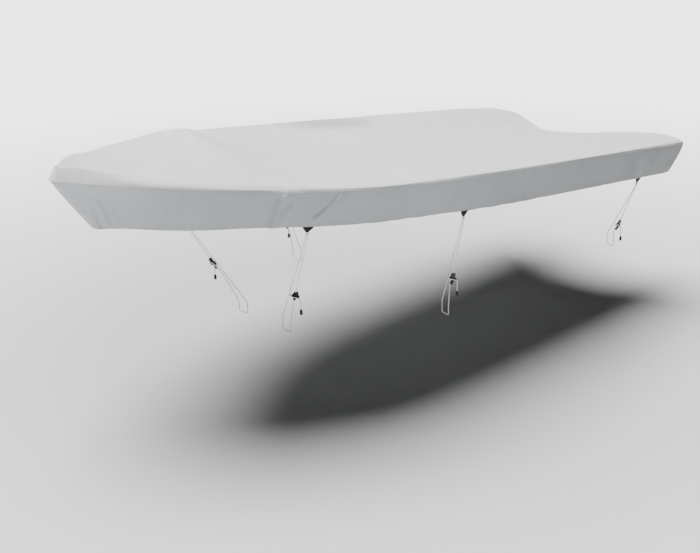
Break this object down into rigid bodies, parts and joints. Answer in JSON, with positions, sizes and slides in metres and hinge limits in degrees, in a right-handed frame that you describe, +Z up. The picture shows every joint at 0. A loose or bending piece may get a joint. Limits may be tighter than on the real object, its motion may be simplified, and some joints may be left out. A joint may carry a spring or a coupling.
{
  "type": "boat cover",
  "caption": "Fitted cloth cover for an open dinghy: a top panel peaked over the foredeck, skirts down the sides and stern, and cord ties with hook adjusters under its hem.",
  "frame": {"origin": "on the underside of the top panel, on the centreline, halfway along the boat (2.14 m forward of the stern corners)", "axes": "+X towards the bow, +Y to port, +Z up; the cover lies in place over the boat"},
  "size_m": [4.3011, 1.814, 1.2289],
  "materials": {
    "cover_cloth": "matt light grey coated canvas with a fine plain weave",
    "black_webbing": "matt black ribbed webbing",
    "white_cord": "white braided elastic cord",
    "black_plastic": "black moulded plastic, slightly satin"
  },
  "bodies": {
    "root": {"top_panel": "cover_cloth", "skirt_port": "cover_cloth", "skirt_starboard": "cover_cloth", "skirt_stern": "cover_cloth", "tab_port_fore": "black_webbing", "knot_port_fore": "white_cord", "strand_port_fore": "white_cord", "cord_port_fore": "white_cord", "adjuster_port_fore": "black_plastic", "cord_end_port_fore": "black_plastic", "tab_starboard_fore": "black_webbing", "knot_starboard_fore": "white_cord", "strand_starboard_fore": "white_cord", "cord_starboard_fore": "white_cord", "adjuster_starboard_fore": "black_plastic", "cord_end_starboard_fore": "black_plastic", "tab_port_mid": "black_webbing", "knot_port_mid": "white_cord", "strand_port_mid": "white_cord", "cord_port_mid": "white_cord", "adjuster_port_mid": "black_plastic", "cord_end_port_mid": "black_plastic", "tab_starboard_mid": "black_webbing", "knot_starboard_mid": "white_cord", "strand_starboard_mid": "white_cord", "cord_starboard_mid": "white_cord", "adjuster_starboard_mid": "black_plastic", "cord_end_starboard_mid": "black_plastic", "tab_port_aft": "black_webbing", "knot_port_aft": "white_cord", "strand_port_aft": "white_cord", "cord_port_aft": "white_cord", "adjuster_port_aft": "black_plastic", "cord_end_port_aft": "black_plastic", "tab_starboard_aft": "black_webbing", "knot_starboard_aft": "white_cord", "strand_starboard_aft": "white_cord", "cord_starboard_aft": "white_cord", "adjuster_starboard_aft": "black_plastic", "cord_end_starboard_aft": "black_plastic"}
  },
  "joints": []
}
